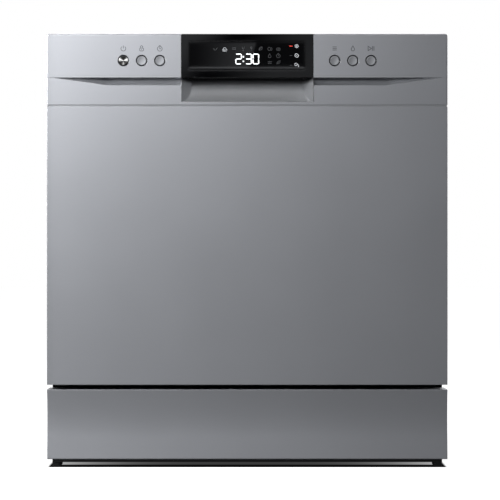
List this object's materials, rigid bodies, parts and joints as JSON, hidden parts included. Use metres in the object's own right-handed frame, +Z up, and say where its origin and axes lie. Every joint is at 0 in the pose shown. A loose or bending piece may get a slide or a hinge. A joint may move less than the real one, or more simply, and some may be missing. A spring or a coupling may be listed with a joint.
{
  "type": "countertop dishwasher",
  "caption": "Countertop dishwasher with a drop-down front door, a display and buttons in its fascia, and two pull-out racks with spray arms.",
  "frame": {"origin": "under the middle of the width and depth, on the surface the machine stands on", "axes": "+X to the right seen from the front, -Y out of the door, +Z up"},
  "size_m": [0.55, 0.5, 0.595],
  "materials": {
    "rubber": "matt moulded rubber",
    "black_plastic": "fine moulded grain",
    "satin_steel": "satin silver-grey sheet",
    "case_paint": "satin silver-grey powder coat",
    "zinc_steel": "zinc plated",
    "zinc_screw": "bright zinc",
    "stainless": "fine rolled stainless",
    "spring_steel": "drawn wire",
    "white_plastic": "smooth moulded",
    "grey_plastic": "smooth moulded",
    "rack_nylon": "nylon coated wire",
    "basket_plastic": "smooth moulded",
    "wheel_plastic": "smooth moulded",
    "fascia_paint": "satin silver-grey lacquer on a moulding",
    "pocket_plastic": "dark satin moulding",
    "gloss_black": "piano black",
    "display_glass": "tinted window",
    "board_green": "solder resist",
    "spun_metal": "spun face",
    "button_paint": "satin silver",
    "blue_plastic": "smooth moulded"
  },
  "bodies": {
    "cabinet": {"feet": "rubber", "base_tray": "black_plastic", "kick_panel": "satin_steel", "side_panel_left": "case_paint", "side_panel_right": "case_paint", "top_cover": "case_paint", "rear_panel": "zinc_steel", "rear_screws": "zinc_screw", "tub_wrapper": "stainless", "tub_back": "stainless", "tub_floor": "stainless", "door_seal": "rubber", "latch_striker": "white_plastic", "rail_guides": "grey_plastic", "hinge_brackets": "zinc_steel", "hinge_springs": "spring_steel", "sump": "white_plastic", "wash_pump": "black_plastic", "drain_pump": "white_plastic", "heater": "stainless", "water_softener": "white_plastic", "inlet_valve": "white_plastic", "drain_outlet": "grey_plastic", "cable_gland": "black_plastic", "water_duct": "grey_plastic", "filter_plate": "stainless"},
    "filter": {"filter_cup": "grey_plastic"},
    "salt_cap": {"salt_cap": "grey_plastic"},
    "float": {"float_cup": "white_plastic"},
    "lower_arm": {"lower_spray_arm": "grey_plastic"},
    "upper_rack": {"upper_rack": "rack_nylon", "rack_rails": "grey_plastic", "rack_feed_pipe": "grey_plastic"},
    "upper_arm": {"upper_spray_arm": "grey_plastic"},
    "cup_shelf": {"cup_shelf": "rack_nylon"},
    "lower_rack": {"lower_rack": "rack_nylon", "cutlery_basket": "basket_plastic"},
    "tines": {"folding_tines": "rack_nylon"},
    "wheel_fl": {"wheel_front_left": "wheel_plastic"},
    "wheel_fr": {"wheel_front_right": "wheel_plastic"},
    "wheel_rl": {"wheel_rear_left": "wheel_plastic"},
    "wheel_rr": {"wheel_rear_right": "wheel_plastic"},
    "door": {"door_outer_panel": "satin_steel", "door_inner_liner": "stainless", "hinge_arms": "zinc_steel", "fascia": "fascia_paint", "handle_pocket": "pocket_plastic", "display_bezel": "gloss_black", "display_glass": "display_glass", "control_board": "board_green", "door_latch": "white_plastic", "dispenser": "grey_plastic"},
    "dispenser_lid": {"dispenser_lid": "white_plastic"},
    "rinse_cap": {"rinse_cap": "blue_plastic"},
    "power_button": {"power_button": "spun_metal"},
    "lock_button": {"lock_button": "button_paint"},
    "delay_button": {"delay_button": "button_paint"},
    "program_button": {"program_button": "button_paint"},
    "function_button": {"function_button": "button_paint"},
    "start_button": {"start_button": "button_paint"}
  },
  "joints": [
    {"name": "door_hinge", "type": "hinge", "parent": "cabinet", "child": "door", "pos_m": [0, -0.234, 0.1369], "axis": [1, 0, 0], "range_deg": [0, 90]},
    {"name": "upper_rack_slide", "type": "slide", "parent": "cabinet", "child": "upper_rack", "axis": [0, -1, 0], "range_m": [0, 0.33]},
    {"name": "lower_rack_slide", "type": "slide", "parent": "cabinet", "child": "lower_rack", "axis": [0, -1, 0], "range_m": [0, 0.36]},
    {"name": "wheel_fl_spin", "type": "hinge", "parent": "lower_rack", "child": "wheel_fl", "pos_m": [-0.229, -0.072, 0.1819], "axis": [1, 0, 0], "continuous": true},
    {"name": "wheel_fr_spin", "type": "hinge", "parent": "lower_rack", "child": "wheel_fr", "pos_m": [0.229, -0.072, 0.1819], "axis": [1, 0, 0], "continuous": true},
    {"name": "wheel_rl_spin", "type": "hinge", "parent": "lower_rack", "child": "wheel_rl", "pos_m": [-0.229, 0.118, 0.1819], "axis": [1, 0, 0], "continuous": true},
    {"name": "wheel_rr_spin", "type": "hinge", "parent": "lower_rack", "child": "wheel_rr", "pos_m": [0.229, 0.118, 0.1819], "axis": [1, 0, 0], "continuous": true},
    {"name": "lower_arm_spin", "type": "hinge", "parent": "cabinet", "child": "lower_arm", "pos_m": [0, -0.005, 0.168], "axis": [0, 0, 1], "continuous": true},
    {"name": "upper_arm_spin", "type": "hinge", "parent": "upper_rack", "child": "upper_arm", "pos_m": [0, -0.005, 0.4], "axis": [0, 0, 1], "continuous": true},
    {"name": "cup_shelf_fold", "type": "hinge", "parent": "upper_rack", "child": "cup_shelf", "pos_m": [-0.2085, 0, 0.4754], "axis": [0, -1, 0], "range_deg": [0, 88]},
    {"name": "tine_fold", "type": "hinge", "parent": "lower_rack", "child": "tines", "pos_m": [0, -0.02, 0.1934], "axis": [1, 0, 0], "range_deg": [0, 80]},
    {"name": "filter_twist", "type": "hinge", "parent": "cabinet", "child": "filter", "pos_m": [0, -0.08, 0.145], "axis": [0, 0, 1], "range_deg": [0, 60]},
    {"name": "salt_cap_twist", "type": "hinge", "parent": "cabinet", "child": "salt_cap", "pos_m": [-0.15, 0.09, 0.149], "axis": [0, 0, 1], "range_deg": [0, 180]},
    {"name": "float_lift", "type": "slide", "parent": "cabinet", "child": "float", "axis": [0, 0, 1], "range_m": [0, 0.008]},
    {"name": "dispenser_lid_slide", "type": "slide", "parent": "door", "child": "dispenser_lid", "axis": [0, 0, -1], "range_m": [0, 0.056]},
    {"name": "rinse_cap_twist", "type": "hinge", "parent": "door", "child": "rinse_cap", "pos_m": [0.038, -0.2, 0.338], "axis": [0, 1, 0], "range_deg": [0, 90]},
    {"name": "power_press", "type": "slide", "parent": "door", "child": "power_button", "axis": [0, 1, 0], "range_m": [0, 0.0015], "stiffness_N_per_m": 500, "springref_m": -0.001},
    {"name": "lock_press", "type": "slide", "parent": "door", "child": "lock_button", "axis": [0, 1, 0], "range_m": [0, 0.0015], "stiffness_N_per_m": 500, "springref_m": -0.001},
    {"name": "delay_press", "type": "slide", "parent": "door", "child": "delay_button", "axis": [0, 1, 0], "range_m": [0, 0.0015], "stiffness_N_per_m": 500, "springref_m": -0.001},
    {"name": "program_press", "type": "slide", "parent": "door", "child": "program_button", "axis": [0, 1, 0], "range_m": [0, 0.0015], "stiffness_N_per_m": 500, "springref_m": -0.001},
    {"name": "function_press", "type": "slide", "parent": "door", "child": "function_button", "axis": [0, 1, 0], "range_m": [0, 0.0015], "stiffness_N_per_m": 500, "springref_m": -0.001},
    {"name": "start_press", "type": "slide", "parent": "door", "child": "start_button", "axis": [0, 1, 0], "range_m": [0, 0.0015], "stiffness_N_per_m": 500, "springref_m": -0.001}
  ],
  "couplings": [
    {"joint": "upper_rack_slide", "follows": "door_hinge", "m_per_rad": 0.21},
    {"joint": "lower_rack_slide", "follows": "door_hinge", "m_per_rad": 0.08},
    {"joint": "wheel_fl_spin", "follows": "door_hinge", "ratio": 5},
    {"joint": "wheel_fr_spin", "follows": "door_hinge", "ratio": 5},
    {"joint": "wheel_rl_spin", "follows": "door_hinge", "ratio": 5},
    {"joint": "wheel_rr_spin", "follows": "door_hinge", "ratio": 5}
  ]
}
